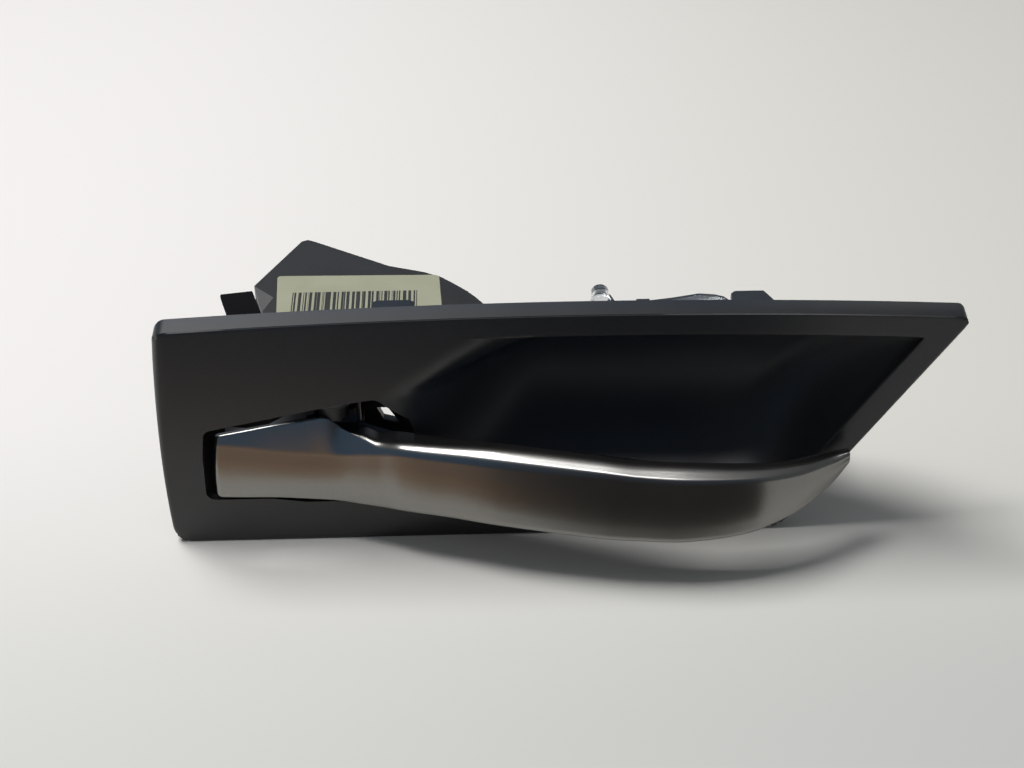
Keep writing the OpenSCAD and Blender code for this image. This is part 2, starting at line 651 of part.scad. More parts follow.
module lever_shell() {
    color(satin_metal) place() difference() {
        union() {
            shell_skin();
            for (s = shell_screw_s) rod(s, shell_screw_z, lever_front(s) + 1.6, screw_web(s), shell_head_r);
        }
        for (s = shell_screw_s) {
            rod(s, shell_screw_z, lever_front(s) + 2.6, screw_web(s) + 1, shell_screw_r + fit_clear);
        }
    }
}

module lever_core() {
    color(core_black) place() difference() {
        union() {
            core_skin();
            post(hub_low, hub_top, hub_r);
            block(pivot_s - arm_w / 2, pivot_s + arm_w / 2, pivot_y + 5, cable_y, arm_z, arm_z + arm_t);
            translate([pivot_s, cable_y, arm_z]) cylinder(h = arm_t, r = arm_end_r);
        }
        block(pivot_s - hub_r, pivot_s + hub_r, -2, 4.2, hub_top - 3, hub_top + 1);
        post(low_flange_z - 1, hub_low, flange_r + seat_gap);
        post(hub_low - 1, hub_low + bush_len, bush_r + fit_clear);
        post(hub_top - bush_len, hub_top + 1, bush_r + fit_clear);
        post(hub_low, hub_top, pin_r + 1);
        post(spring_room_low, spring_room_top, coil_r + wire_d / 2 + 0.6);
        block(pivot_s - hub_r - 1, pivot_s + hub_r + 1, pivot_y, pivot_y + hub_r + 1, spring_room_low,
              spring_room_top);
        block(pivot_s - spring_leg - 1, pivot_s, pivot_y - coil_r - wire_d / 2, pivot_y,
              spring_end_z - wire_d / 2 - 0.3, spring_end_z + wire_d / 2 + 0.3);
        for (s = shell_screw_s) {
            rod(s, shell_screw_z, lever_front(s) - 1, screw_web(s) + 0.2, shell_head_r + shell_gap);
            rod(s, shell_screw_z, lever_front(s), core_back(s) + 1, shell_screw_r + 0.15);
            rod(s, shell_screw_z, core_back(s) - shell_head_h, core_back(s) + 2, shell_head_r + 0.15);
        }
        translate([pivot_s, cable_y, arm_z - 1]) cylinder(h = arm_t + 2, r = 1.7);
    }
}

module shell_screws() {
    color(steel) place() for (s = shell_screw_s) {
        rod(s, shell_screw_z, lever_front(s) + 2.8, core_back(s) - 0.1, shell_screw_r);
        rod(s, shell_screw_z, core_back(s) - shell_head_h, core_back(s), shell_head_r);
    }
}

// Pivot
module pivot_pin() {
    color(steel) place() post(pin_low, pin_top, pin_r);
}

module pin_clip() {
    color(steel) place() difference() {
        post(lug_low_top - lower_lug_t - clip_t, lug_low_top - lower_lug_t, pin_r + 2);
        post(lug_low_top - lower_lug_t - clip_t - 1, lug_low_top, pin_r + fit_clear);
    }
}

module bush(flange_z, body_z) {
    color(bush_white) place() difference() {
        union() {
            post(flange_z, flange_z + flange_t, flange_r);
            post(body_z, body_z + bush_len, bush_r);
        }
        post(min(flange_z, body_z) - 1, max(flange_z + flange_t, body_z + bush_len) + 1, pin_r + run_clear);
    }
}

module upper_bush() {
    bush(hub_top, hub_top - bush_len);
}

module lower_bush() {
    bush(low_flange_z, hub_low);
}

module thrust_washer() {
    color(steel) place() difference() {
        post(washer_z, washer_z + washer_t, flange_r);
        post(washer_z - 1, washer_z + washer_t + 1, pin_r + run_clear);
    }
}

// Return spring: a leg to the carrier, a coil that rises clockwise, and a leg into the lever's slot
spring_turns = 5.25;
spring_z = spring_room_low + wire_d / 2 + 0.4;
spring_end_z = spring_z + coil_pitch * spring_turns;
spring_leg = 13;
spring_sides = 6;
spring_step = 22.5;

function spring_path() =
    concat([[coil_r, spine_y - pivot_y - 1.5, spring_z], [coil_r, 6, spring_z]],
           [for (a = [0:spring_step:360 * spring_turns])
               [coil_r * cos(-a), coil_r * sin(-a), spring_z + coil_pitch * a / 360]],
           [[-6, -coil_r, spring_end_z], [-spring_leg, -coil_r, spring_end_z]]);

function wire_ring(p, d) =
    let (a = unit(cross(d, [0, 0, 1])), b = cross(a, d))
    [for (k = [0:spring_sides - 1])
        p + wire_d / 2 * (a * cos(360 * k / spring_sides) + b * sin(360 * k / spring_sides))];

module return_spring() {
    path = spring_path();
    n = len(path);
    m = spring_sides;
    points = [for (i = [0:n - 1])
        each wire_ring(path[i], unit(path[min(i + 1, n - 1)] - path[max(i - 1, 0)]))];
    last = (n - 1) * m;
    color(steel) place() translate([pivot_s, pivot_y, 0])
        polyhedron(points,
                   concat([for (k = [1:m - 2]) [0, k + 1, k]],
                          [for (i = [0:n - 2]) for (k = [0:m - 1])
                              let (p = i * m, q = p + m, l = (k + 1) % m)
                              each [[p + k, p + l, q + l], [p + k, q + l, q + k]]],
                          [for (k = [1:m - 2]) [last, last + k, last + k + 1]]),
                   convexity = 8);
}

// Stops
module rest_bumper() {
    color(rubber_black) place() difference() {
        block(notch_s - 3, pivot_s - arm_w / 2 - 0.05, spine_y - bumper_grip,
              spine_y + spine_t + bumper_grip, arm_z - 1, arm_z + arm_t + 1);
        block(notch_s - 4, notch_s, spine_y, spine_y + spine_t, arm_z - 2, arm_z + arm_t + 2);
    }
}

module open_bumper() {
    color(rubber_black) place() {
        rod(bumper_s, bumper_z, bumper_front, spine_y, bumper_r);
        rod(bumper_s, bumper_z, bumper_front + 1, spine_y + spine_t + 1, bumper_neck_r);
        rod(bumper_s, bumper_z, spine_y + spine_t, spine_y + spine_t + 1.5, bumper_back_r);
    }
}

// Light guide, label and felt
module light_guide() {
    color(clear_plastic) place() {
        plate(guide_z, guide_z + guide_t, guide_path);
        rod(stub_s, stub_z, rim_depth + 1.5, collar_back, collar_r);
        rod(stub_s, stub_z, rim_depth + 2, stub_reach, stub_r);
    }
}

module label() {
    color(label_cream) place()
        translate([label_corner[0], label_corner[1], roof_z]) rotate([0, 0, label_turn])
            linear_extrude(label_t) polygon(rounded([[0, -label_w], [label_len, -label_w], [label_len, 0],
                                                     [0, 0]], [1, 1, 1, 1]));
}

module felt_pad() {
    color(felt_black) place() plate(roof_z - felt_t, roof_z, felt_path);
}

// Fixings
module carrier_screws() {
    color(steel) place() for (p = concat(upper_screws, lower_screws)) {
        rod(p[0], p[1], bezel_wall + 1.1, ear_y + ear_t + 0.5, screw_r);
        rod(p[0], p[1], ear_y + ear_t, ear_y + ear_t + screw_head_h, screw_head_r);
    }
}

module insert(s, z, mouth) {
    difference() {
        rod(s, z, mouth - insert_len, mouth, insert_r);
        rod(s, z, mouth - insert_len - 1, mouth + 1, insert_bore_r);
    }
}

module fixing_inserts() {
    color(brass) place() {
        insert(front_fix[0], front_fix[1], carrier_reach);
        insert(rear_fix[0], rear_fix[1], rear_fix_reach);
    }
}

bezel();
carrier();
lever_shell();
lever_core();
pivot_pin();
pin_clip();
upper_bush();
lower_bush();
thrust_washer();
return_spring();
rest_bumper();
open_bumper();
light_guide();
label();
felt_pad();
carrier_screws();
shell_screws();
fixing_inserts();
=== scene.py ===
"""Car interior door handle: a black bezel with a finger bowl, a satin pull lever and a carrier.

The bezel's own directions are s along its length from the left end, y into the door from the
face, and z up from its bottom edge, all in millimetres. place() turns them into the frame.
"""
import json
import math

import bpy
import numpy as np
from mathutils import Matrix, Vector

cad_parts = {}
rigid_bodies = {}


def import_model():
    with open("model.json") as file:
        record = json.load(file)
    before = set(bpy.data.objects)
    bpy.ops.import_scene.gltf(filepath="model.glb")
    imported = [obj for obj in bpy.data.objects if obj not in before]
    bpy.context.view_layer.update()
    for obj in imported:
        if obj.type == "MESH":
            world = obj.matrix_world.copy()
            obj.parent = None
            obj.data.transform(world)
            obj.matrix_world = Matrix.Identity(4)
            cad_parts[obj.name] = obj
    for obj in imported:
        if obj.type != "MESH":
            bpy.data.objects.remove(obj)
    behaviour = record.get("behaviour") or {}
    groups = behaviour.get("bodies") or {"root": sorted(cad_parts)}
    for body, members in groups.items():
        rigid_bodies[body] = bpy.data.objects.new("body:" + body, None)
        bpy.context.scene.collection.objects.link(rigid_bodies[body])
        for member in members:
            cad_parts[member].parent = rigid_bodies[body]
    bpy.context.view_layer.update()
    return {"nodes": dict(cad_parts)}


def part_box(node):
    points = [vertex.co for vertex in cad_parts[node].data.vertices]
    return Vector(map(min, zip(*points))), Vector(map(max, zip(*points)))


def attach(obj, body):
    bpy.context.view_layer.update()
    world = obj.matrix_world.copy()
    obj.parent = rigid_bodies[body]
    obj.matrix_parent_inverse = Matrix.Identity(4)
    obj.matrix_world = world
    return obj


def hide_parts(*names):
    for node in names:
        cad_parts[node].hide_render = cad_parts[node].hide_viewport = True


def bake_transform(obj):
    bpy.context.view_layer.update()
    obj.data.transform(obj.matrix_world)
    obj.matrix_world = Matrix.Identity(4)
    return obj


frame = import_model()

MM = 0.001

# Bezel: bow of its left edge, where its own directions start in the frame, and its sizes
LEFT_BOW = 3.0
LEFT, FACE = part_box("bezel")[0][0] / MM + LEFT_BOW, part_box("bezel")[0][1] / MM
BEZEL_H = 68.0
FOOT_LEN = 157.9
END_LEAN = 0.617
LEFT_BOW_Z = 0.309 * BEZEL_H
LEFT_BOW_REACH = 0.787 * BEZEL_H
CROWN_RISE = 3.0
WALL = 2.4
RIM_DEPTH = 6.0
FACE_ROUND = {"top": 0.5, "foot": 0.6, "left_high": 2.3, "left_low": 0.9, "end": 1.2}
CORNER_R = {"low_left": 5.0, "foot": 12.0, "tip": 2.4, "top_left": 3.5}
POINT_S = FOOT_LEN + END_LEAN * BEZEL_H
END_SLANT = math.hypot(1, END_LEAN)
EDGE_STEPS = np.array([1.5, 1.0, 0.6, 0.25, 0.05])
RIM_FORWARD = 1.2
RIM_UP = 0.88

# Finger bowl
BOWL_DEPTH = 24.0
TOP_BORDER = 6.3
END_BORDER = 8.5
BOWL_LOW = 9.0
BOWL_START = 52.0
BOWL_SLOPE = 42.0
BOWL_END_RUN = 18.0
BOWL_LEAN = 1.2
BOWL_LEAN_Z = 46.0
# Where along the bezel the bowl's painted blue black turns into painted lighter grey
BOWL_PAINTED_LIGHT_S = (128, 178)

# Opening for the lever
POCKET = [(7.2, 14.5), (24.0, 14.5), (33.0, 13.1), (62.5, 13.1), (62.5, 30.0), (60.5, 38.0), (52.5, 46.5),
          (42.3, 44.8), (8.6, 37.2), (7.6, 28.5)]
POCKET_R = 2.5

# Screw bosses, the boss for the rear fixing, tongues, the felt's rest and the light guide's holders
SCREW_PLACES = [(30, 57), (54.5, 57), (24, 7.5), (57, 7.5)]
BOSS_R = 3.6
SCREW_HOLE_R = 1.52
EAR_Y = 9.0
FIXING_PLACE = (152, 40)
FIXING_R = 5.0
INSERT_R = 3.22
FIRST_TAB = [(52.4, 3), (62.8, 3), (62.8, 10.1), (61.6, 10.9), (53.6, 10.9), (52.4, 10.1)]
SECOND_TAB = [(140.9, 3), (152.4, 3), (151.6, 7), (149.2, 11.9), (142, 11.9), (140.9, 10.8)]
TAB_T = 1.7
FELT_REST_Z = (62.4, 64.4)
FELT_REST = [(17.2, 2), (24.2, 2), (24, 11.7), (21.2, 20.2), (14.8, 18.8), (17.2, 10.7)]
SPUR = [(111.0, 5), (112.5, 5), (112.3, 7.4), (110.9, 11.6), (110.9, 9.0)]
GUIDE_Z = 67.0
GUIDE_RESTS = (114, 130, 136.5)
GUIDE_HOOKS = ((117.2, 8.2), (136.5, 6.9))

# Roof of the carrier: its height, and the corners and fall of its small facet
ROOF_Z = 66.0
FACET = {"high": (22.3, 22.5), "inner": (27.5, 17.4), "low": (25.3, 11.6)}
FACET_FALL = 2.3

# Label on the roof: its nearest corner, lean and turn, the roof's edge beyond it, and its bars
LABEL_CORNER = (28, 26.4)
LABEL_LEAN = 0.085
LABEL_TURN = 0.02
ROOF_EDGE = ((56, 65.1, 69.3), (30.2, 27.1, 24.8))
BARS_ALONG = (0.11, 0.87)
BARS_DEEP = 0.60

# Lever
LEVER_START = 11.1
LEVER_END_BOW = 1.4
END_BOW_LEN = 14.2
END_ROUND = 1.5
END_DRAW = 0.6
LEVER_BULGE = 20.9
LEVER_LOW = 15.0
LEVER_H = 20.2
END_BOW_Z = LEVER_LOW + 4
END_BOW_REACH = 17.3
FRONT_BULGE = 0.45
CREASE_R = 0.8
SHELL_WALL = 1.25
CORE_FOLLOWS = 7.0
CORE_FADES = 4.0

# Sections of the lever: place along it, forward sweep, rise of the lower edge, setback and height
# share of the crease, of the shoulder and of the ridge, depth of the top and of the underside
(ALONG, SWEEP, LOW_RISE, CREASE_BACK, CREASE_RISE, SHOULDER_BACK, SHOULDER_RISE, RIDGE_BACK, RIDGE_RISE,
 TOP_DEPTH, UNDER_DEPTH) = range(11)
LEVER_SECTIONS = np.array([
    [0.0, 0.015, 0.35, 2.6, 0.79, 3.1, 0.851, 3.43, 0.892, 1.3, 3.4],
    [7.3, 0.015, -0.05, 2.6, 0.741, 3.54, 0.862, 4.17, 0.942, 1.3, 3.4],
    [14.2, 0.015, -0.25, 2.45, 0.678, 3.8, 0.869, 4.7, 0.997, 1.2, 3.4],
    [22.2, 0.022, -0.8, 2.4, 0.638, 4.1, 0.885, 5.25, 1.05, 1.1, 3.4],
    [28.4, 0.037, -1.25, 2.45, 0.623, 4.3, 0.902, 5.55, 1.088, 1.2, 3.6],
    [31.8, 0.07, -1.3, 2.65, 0.627, 6.05, 0.922, 6.4, 0.932, 2.5, 4.2],
    [34.9, 0.12, -1.2, 2.8, 0.655, 5.45, 0.882, 6.05, 0.9, 3.2, 4.8],
    [38.2, 0.176, -1.0, 2.92, 0.7, 4.7, 0.852, 5.9, 0.886, 4.2, 5.4],
    [41.5, 0.235, -0.7, 3.03, 0.736, 4.0, 0.818, 5.4, 0.858, 4.6, 6.0],
    [47.2, 0.35, -0.2, 3.22, 0.81, 4.06, 0.874, 5.85, 0.913, 4.8, 7.0],
    [57.0, 0.487, 0.0, 3.29, 0.837, 4.18, 0.905, 6.22, 0.95, 3.8, 7.6],
    [72.2, 0.7, 0.2, 3.42, 0.881, 4.38, 0.954, 7.03, 1.013, 3.0, 8.6],
    [97.2, 0.928, -0.5, 3.83, 0.867, 4.5, 0.918, 7.25, 0.98, 2.6, 8.2],
    [106.5, 0.975, -0.65, 3.74, 0.84, 4.28, 0.882, 7.15, 0.945, 2.5, 7.8],
    [119.2, 1.0, -0.8, 3.6, 0.806, 4.15, 0.847, 7.2, 0.915, 2.4, 7.2],
    [135.2, 0.9, 0.2, 2.85, 0.754, 3.4, 0.795, 5.8, 0.848, 2.5, 5.4],
    [147.2, 0.684, 2.9, 1.6, 0.709, 2.15, 0.75, 3.8, 0.795, 2.1, 3.6],
    [156.2, 0.416, 7.0, 0.6, 0.688, 1.0, 0.722, 2.2, 0.755, 1.8, 2.4],
    [160.8, 0.282, 12.0, -0.1, 0.73, 0.1, 0.75, 0.4, 0.775, 0.8, 1.2],
])

# The solids' sections: place, setback and height share of the crease and of the ridge, from which
# the core is carried back with the plating
SOLID_CREASE = np.array([
    [0.0, 0.0, 0.95, 0.45, 1.0], [14.2, 0.0, 1.11, 0.45, 1.155], [22.2, 0.0, 0.866, 0.6, 1.243],
    [29.2, -0.1, 0.708, 1.3, 1.317], [36.2, 0.0, 0.767, 1.5, 1.06], [41.2, -0.3, 0.856, 0.9, 1.0],
    [47.2, -0.3, 0.911, 1.5, 1.0], [72.2, 2.2, 0.891, 4.5, 1.0], [97.2, 3.3, 0.9, 5.7, 1.0],
    [119.2, 1.3, 0.916, 3.3, 1.0], [135.2, 0.0, 0.886, 1.2, 0.975], [147.2, -0.8, 0.832, 0.0, 0.92],
    [156.2, -1.3, 0.787, -0.8, 0.856], [160.8, -0.4, 0.757, 0.0, 0.807],
])

# Camera, in the bezel's own directions
EYE = (77.285, -351.44, 325.22)
LOOK_RIGHT = (0.999559, -0.029399, -0.004126)
LOOK_UP = (0.021350, 0.615305, 0.788000)
LOOK_AHEAD = (0.020628, 0.787741, -0.615661)
LENS_MM = 63.28


# Small helpers

def place(points):
    """Points in the bezel's own directions, in millimetres, as places in the frame."""
    return (np.asarray(points, float) + (LEFT, FACE, 0)) * MM


def deselect():
    if bpy.context.object and bpy.context.object.mode != "OBJECT":
        bpy.ops.object.mode_set(mode="OBJECT")
    bpy.ops.object.select_all(action="DESELECT")


def activate(obj):
    deselect()
    obj.select_set(True)
    bpy.context.view_layer.objects.active = obj


def apply_modifier(obj, kind, **settings):
    activate(obj)
    modifier = obj.modifiers.new(kind.lower(), kind)
    for key, value in settings.items():
        setattr(modifier, key, value)
    bpy.ops.object.modifier_apply(modifier=modifier.name)


def combine(obj, other, operation):
    """Joins, cuts or trims a solid with another, which is used up."""
    apply_modifier(obj, "BOOLEAN", object=other, operation=operation, solver="EXACT")
    bpy.data.objects.remove(other)


def recalculate(obj):
    activate(obj)
    bpy.ops.object.mode_set(mode="EDIT")
    bpy.ops.mesh.select_all(action="SELECT")
    bpy.ops.mesh.normals_make_consistent(inside=False)
    bpy.ops.object.mode_set(mode="OBJECT")


def smooth(obj, angle=32):
    activate(obj)
    bpy.ops.object.shade_smooth_by_angle(angle=math.radians(angle))


def round_edges(obj, width, segments=2, angle=35):
    apply_modifier(obj, "BEVEL", width=width * MM, segments=segments, limit_method="ANGLE",
                   angle_limit=math.radians(angle), use_clamp_overlap=True)


def finish_piece(obj, name, material, body, *nodes):
    obj.name = name
    obj.data.name = name
    obj.data.materials.clear()
    obj.data.materials.append(material)
    if body:
        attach(obj, body)
    if nodes:
        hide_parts(*nodes)
    return obj


def laid_grid(points):
    """A grid whose corners lie on the rows and columns of points, in millimetres."""
    a, b = points.shape[:2]
    deselect()
    bpy.ops.mesh.primitive_grid_add(x_subdivisions=a - 1, y_subdivisions=b - 1, size=1)
    obj = bpy.context.object
    flat = np.empty(3 * len(obj.data.vertices))
    obj.data.vertices.foreach_get("co", flat)
    flat = flat.reshape(-1, 3)
    i = np.rint((flat[:, 0] + 0.5) * (a - 1)).astype(int)
    j = np.rint((flat[:, 1] + 0.5) * (b - 1)).astype(int)
    obj.data.vertices.foreach_set("co", place(points[i, j]).ravel())
    obj.data.update()
    return obj


def prism(path, low, high, axis="y"):
    """A solid with that outline: (s, z) from depth low to high, or (s, y) from height low to high."""
    deselect()
    bpy.ops.mesh.primitive_circle_add(vertices=len(path), fill_type="NGON")
    obj = bpy.context.object
    lay = (lambda p: (p[0], low, p[1])) if axis == "y" else (lambda p: (p[0], p[1], low))
    obj.data.vertices.foreach_set("co", place([lay(p) for p in path]).ravel())
    step = (0, (high - low) * MM, 0) if axis == "y" else (0, 0, (high - low) * MM)
    bpy.ops.object.mode_set(mode="EDIT")
    bpy.ops.mesh.select_all(action="SELECT")
    bpy.ops.mesh.extrude_region_move(TRANSFORM_OT_translate={"value": step})
    bpy.ops.object.mode_set(mode="OBJECT")
    recalculate(obj)
    return obj


def block(low, high, rounding=0.25):
    """A box between two corners, with its edges rounded."""
    low, high = place(low), place(high)
    deselect()
    bpy.ops.mesh.primitive_cube_add(size=1, location=(low + high) / 2, scale=high - low)
    obj = bpy.context.object
    bpy.ops.object.transform_apply()
    if rounding:
        round_edges(obj, rounding)
    return obj


def rod(s, z, y0, y1, r, rounding=0.2):
    """A round bar along the depth."""
    deselect()
    bpy.ops.mesh.primitive_cylinder_add(vertices=48, radius=r * MM, depth=(y1 - y0) * MM,
                                        location=place((s, (y0 + y1) / 2, z)),
                                        rotation=(math.pi / 2, 0, 0))
    obj = bpy.context.object
    bpy.ops.object.transform_apply()
    if rounding:
        round_edges(obj, rounding)
    return obj


def join(first, *others):
    deselect()
    for obj in (first, *others):
        obj.select_set(True)
    bpy.context.view_layer.objects.active = first
    bpy.ops.object.join()
    return first


def rounded(path, radii, steps=8):
    """A closed outline with each corner rounded by its own radius."""
    path = [np.array(p, float) for p in path]
    points = []
    for k, r in enumerate(radii):
        a, b, c = path[k - 1], path[k], path[(k + 1) % len(path)]
        if not r:
            points.append(b)
            continue
        u, w = (a - b) / np.linalg.norm(a - b), (c - b) / np.linalg.norm(c - b)
        half = math.acos(float(np.clip(u @ w, -1, 1))) / 2
        mid = b + (u + w) / np.linalg.norm(u + w) * r / math.sin(half)
        first, last = b + u * r / math.tan(half) - mid, b + w * r / math.tan(half) - mid
        start = math.atan2(first[1], first[0])
        turn = (math.atan2(last[1], last[0]) - start + math.pi) % (2 * math.pi) - math.pi
        for t in np.linspace(0, 1, steps + 1):
            points.append(mid + r * np.array([math.cos(start + turn * t), math.sin(start + turn * t)]))
    return np.array(points)


def distance_to(path, s, z):
    """Distance of points to a closed outline."""
    best = np.full(s.shape, np.inf)
    for a, b in zip(path, np.roll(path, -1, axis=0)):
        d = b - a
        t = np.clip(((s - a[0]) * d[0] + (z - a[1]) * d[1]) / (d @ d), 0, 1)
        best = np.minimum(best, np.hypot(s - a[0] - t * d[0], z - a[1] - t * d[1]))
    return best


# Shader helpers

class Socket:
    """A shader value that can be used in sums."""

    def __init__(self, tree, link):
        self.tree = tree
        self.link = link

    def node(self, kind, settings=None, sockets=None):
        made = self.tree.nodes.new(kind)
        for key, value in (settings or {}).items():
            setattr(made, key, value)
        for key, value in (sockets or {}).items():
            if isinstance(value, Socket):
                self.tree.links.new(value.link, made.inputs[key])
            else:
                made.inputs[key].default_value = value
        return Socket(self.tree, made.outputs[0])

    def maths(self, operation, a, b):
        return self.node("ShaderNodeMath", {"operation": operation}, {0: a, 1: b})

    def __add__(self, other):
        return self.maths("ADD", self, other)

    def __sub__(self, other):
        return self.maths("SUBTRACT", self, other)

    def __rsub__(self, other):
        return self.maths("SUBTRACT", other, self)

    def __mul__(self, other):
        return self.maths("MULTIPLY", self, other)

    __radd__ = __add__
    __rmul__ = __mul__

    def steps_to(self, low, high):
        """0 below low, 1 above high."""
        return self.node("ShaderNodeMapRange", {"interpolation_type": "SMOOTHSTEP"},
                         {0: self, 1: low, 2: high, 3: 0.0, 4: 1.0})

    def mix(self, a, b):
        """Colour a where this is 0, b where it is 1."""
        made = self.tree.nodes.new("ShaderNodeMix")
        made.data_type = "RGBA"
        self.tree.links.new(self.link, made.inputs[0])
        for k, value in ((6, a), (7, b)):
            if isinstance(value, Socket):
                self.tree.links.new(value.link, made.inputs[k])
            else:
                made.inputs[k].default_value = (*value, 1)
        return Socket(self.tree, made.outputs[2])


class Finish:
    """A material with its shader and its object coordinates."""

    def __init__(self, name, colour, roughness=0.5, **constants):
        self.material = bpy.data.materials.new(name)
        self.material.use_nodes = True
        self.tree = self.material.node_tree
        self.shader = next(n for n in self.tree.nodes if n.type == "BSDF_PRINCIPLED")
        self.shader.inputs["Base Color"].default_value = (*colour, 1)
        self.shader.inputs["Roughness"].default_value = roughness
        for key, value in constants.items():
            self.shader.inputs[key.replace("_", " ")].default_value = value
        coords = self.tree.nodes.new("ShaderNodeTexCoord")
        self.place = Socket(self.tree, coords.outputs["Object"])
        split = self.tree.nodes.new("ShaderNodeSeparateXYZ")
        self.tree.links.new(coords.outputs["Object"], split.inputs[0])
        self.x, self.y = (Socket(self.tree, split.outputs[k]) for k in range(2))

    def feed(self, name, value):
        self.tree.links.new(value.link, self.shader.inputs[name])

    def noise(self, scale, detail=2.0, roughness=0.5):
        return self.place.node("ShaderNodeTexNoise", {},
                               {"Vector": self.place, "Scale": scale, "Detail": detail,
                                "Roughness": roughness})

    def bump(self, height, strength, distance):
        self.feed("Normal", height.node("ShaderNodeBump", {},
                                        {"Strength": strength, "Distance": distance,
                                         "Height": height}))


def moulded(name, colour, roughness, grain=0.12, patch=0.15):
    """Black moulded plastic: fine grain and a slight unevenness in its gloss."""
    made = Finish(name, colour, roughness)
    fine = made.noise(2600.0, 3.0, 0.6)
    wide = made.noise(45.0, 2.0)
    made.feed("Roughness", wide * patch + (roughness - patch / 2))
    shade = tuple(c * 1.25 for c in colour)
    made.feed("Base Color", made.noise(1500.0, 2.0).steps_to(0.35, 0.75).mix(colour, shade))
    made.bump(fine, grain, 0.00008)
    return made.material


def face_plastic():
    """Fine grain on the bezel's face and edges, and painted light in the bowl: a blue black for its
    reflections that turns into a lighter grey for the light on its right part.
    """
    made = Finish("grained black plastic", (0.009, 0.009, 0.01), 0.4)
    # Behind the face plane the grain tones give way to the bowl's painted light
    bowl = made.y.steps_to((FACE + 0.4) * MM, (FACE + 5) * MM)
    shades = made.noise(1500.0, 2.0).steps_to(0.3, 0.75)
    grained = shades.mix((0.012, 0.0124, 0.0132), (0.0148, 0.0152, 0.016))
    # Painted light: a blue tint for the reflections in the bowl's left part, and a lighter grey for the
    # light on its right part
    left = shades.mix((0.01, 0.0145, 0.023), (0.0115, 0.0165, 0.0255))
    right = shades.mix((0.034, 0.036, 0.037), (0.038, 0.04, 0.041))
    bowl_painted_light = made.x.steps_to(*((LEFT + s) * MM for s in BOWL_PAINTED_LIGHT_S)).mix(left, right)
    made.feed("Base Color", bowl.mix(grained, bowl_painted_light))
    made.feed("Roughness", made.noise(45.0, 2.0) * 0.12 + 0.34)
    made.bump(made.noise(2600.0, 3.0, 0.6), 0.12, 0.00008)
    return made.material


def satin_lever():
    """Satin metal coating with a fine sparkle."""
    made = Finish("satin metal", (0.24, 0.235, 0.225), 0.26, Metallic=1.0)
    grain = made.noise(5200.0, 2.0, 0.6)
    made.feed("Base Color", grain.steps_to(0.3, 0.72).mix((0.22, 0.216, 0.206),
                                                          (0.275, 0.268, 0.252)))
    made.feed("Roughness", made.noise(60.0, 2.0) * 0.05 + 0.235)
    made.bump(grain, 0.06, 0.00005)
    return made.material


def plain_metal(name, colour, roughness):
    made = Finish(name, colour, roughness, Metallic=1.0)
    made.feed("Roughness", made.noise(400.0, 3.0) * 0.15 + (roughness - 0.07))
    return made.material


def clear_plastic():
    made = Finish("clear plastic", (0.78, 0.82, 0.84), 0.12, IOR=1.49, Transmission_Weight=1.0)
    made.feed("Roughness", made.noise(200.0, 2.0) * 0.1 + 0.08)
    return made.material


def label_film():
    """Cream film with a row of plain dark bars along its front edge."""
    made = Finish("label film", (0.35, 0.35, 0.25), 0.35)
    low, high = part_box("label")
    along = (made.x - low[0]) * (1 / (high[0] - low[0]))
    across = (made.y - low[1]) * (1 / (high[1] - low[1]))
    stripes = made.place.node("ShaderNodeTexNoise", {"noise_dimensions": "1D"},
                              {"W": made.x, "Scale": 1500.0, "Detail": 1.0})
    start, end = BARS_ALONG
    inside = along.steps_to(start, start + 0.004) * (1 - along.steps_to(end, end + 0.004))
    band = 1 - across.steps_to(BARS_DEEP, BARS_DEEP + 0.005)
    bars = stripes.steps_to(0.47, 0.5) * inside * band
    worn = made.noise(90.0, 3.0).steps_to(0.3, 0.8)
    paper = worn.mix((0.37, 0.37, 0.265), (0.32, 0.32, 0.225))
    made.feed("Base Color", bars.mix(paper, (0.03, 0.03, 0.03)))
    return made.material


def felt():
    made = Finish("felt", (0.005, 0.005, 0.006), 0.98, Specular_IOR_Level=0.1)
    made.bump(made.noise(1600.0, 4.0, 0.7), 0.9, 0.0004)
    return made.material


BLACK = face_plastic()
CARRIER = moulded("plain black plastic", (0.018, 0.018, 0.018), 0.42, grain=0.05)
CORE = moulded("dark core plastic", (0.004, 0.004, 0.005), 0.5, grain=0.05)
SATIN = satin_lever()
STEEL = plain_metal("steel", (0.55, 0.55, 0.56), 0.32)
BRASS = plain_metal("brass", (0.62, 0.46, 0.18), 0.3)
BUSH = Finish("bush plastic", (0.012, 0.012, 0.012), 0.5).material
RUBBER = Finish("rubber", (0.02, 0.02, 0.02), 0.7).material


# Bezel

def end_s(z):
    return FOOT_LEN + END_LEAN * z


def left_s(z):
    return -LEFT_BOW * (1 - ((z - LEFT_BOW_Z) / LEFT_BOW_REACH) ** 2)


def top_z(s):
    return BEZEL_H + CROWN_RISE * (1 - ((s - POINT_S / 2) / (POINT_S / 2)) ** 2)


def bezel_outline(inset=0.0):
    high = BEZEL_H - inset
    right = end_s(high) - inset * END_SLANT
    crown = inset + (right - inset) * np.linspace(0.92, 0.07, 28)
    bow = BEZEL_H * np.linspace(0.87, 0.13, 24)
    path = [(left_s(inset) + inset, inset), (end_s(inset) - inset * END_SLANT, inset), (right, high),
            *((s, top_z(s) - inset) for s in crown), (left_s(high) + inset, high),
            *((left_s(z) + inset, z) for z in bow)]
    radii = [CORNER_R["low_left"] - inset, CORNER_R["foot"] - inset, max(CORNER_R["tip"] - inset, 0.2),
             *(0 for s in crown), CORNER_R["top_left"] - inset, *(0 for z in bow)]
    return rounded(path, radii)


def smoothstep(t):
    t = np.clip(t, 0, 1)
    return t * t * (3 - 2 * t)


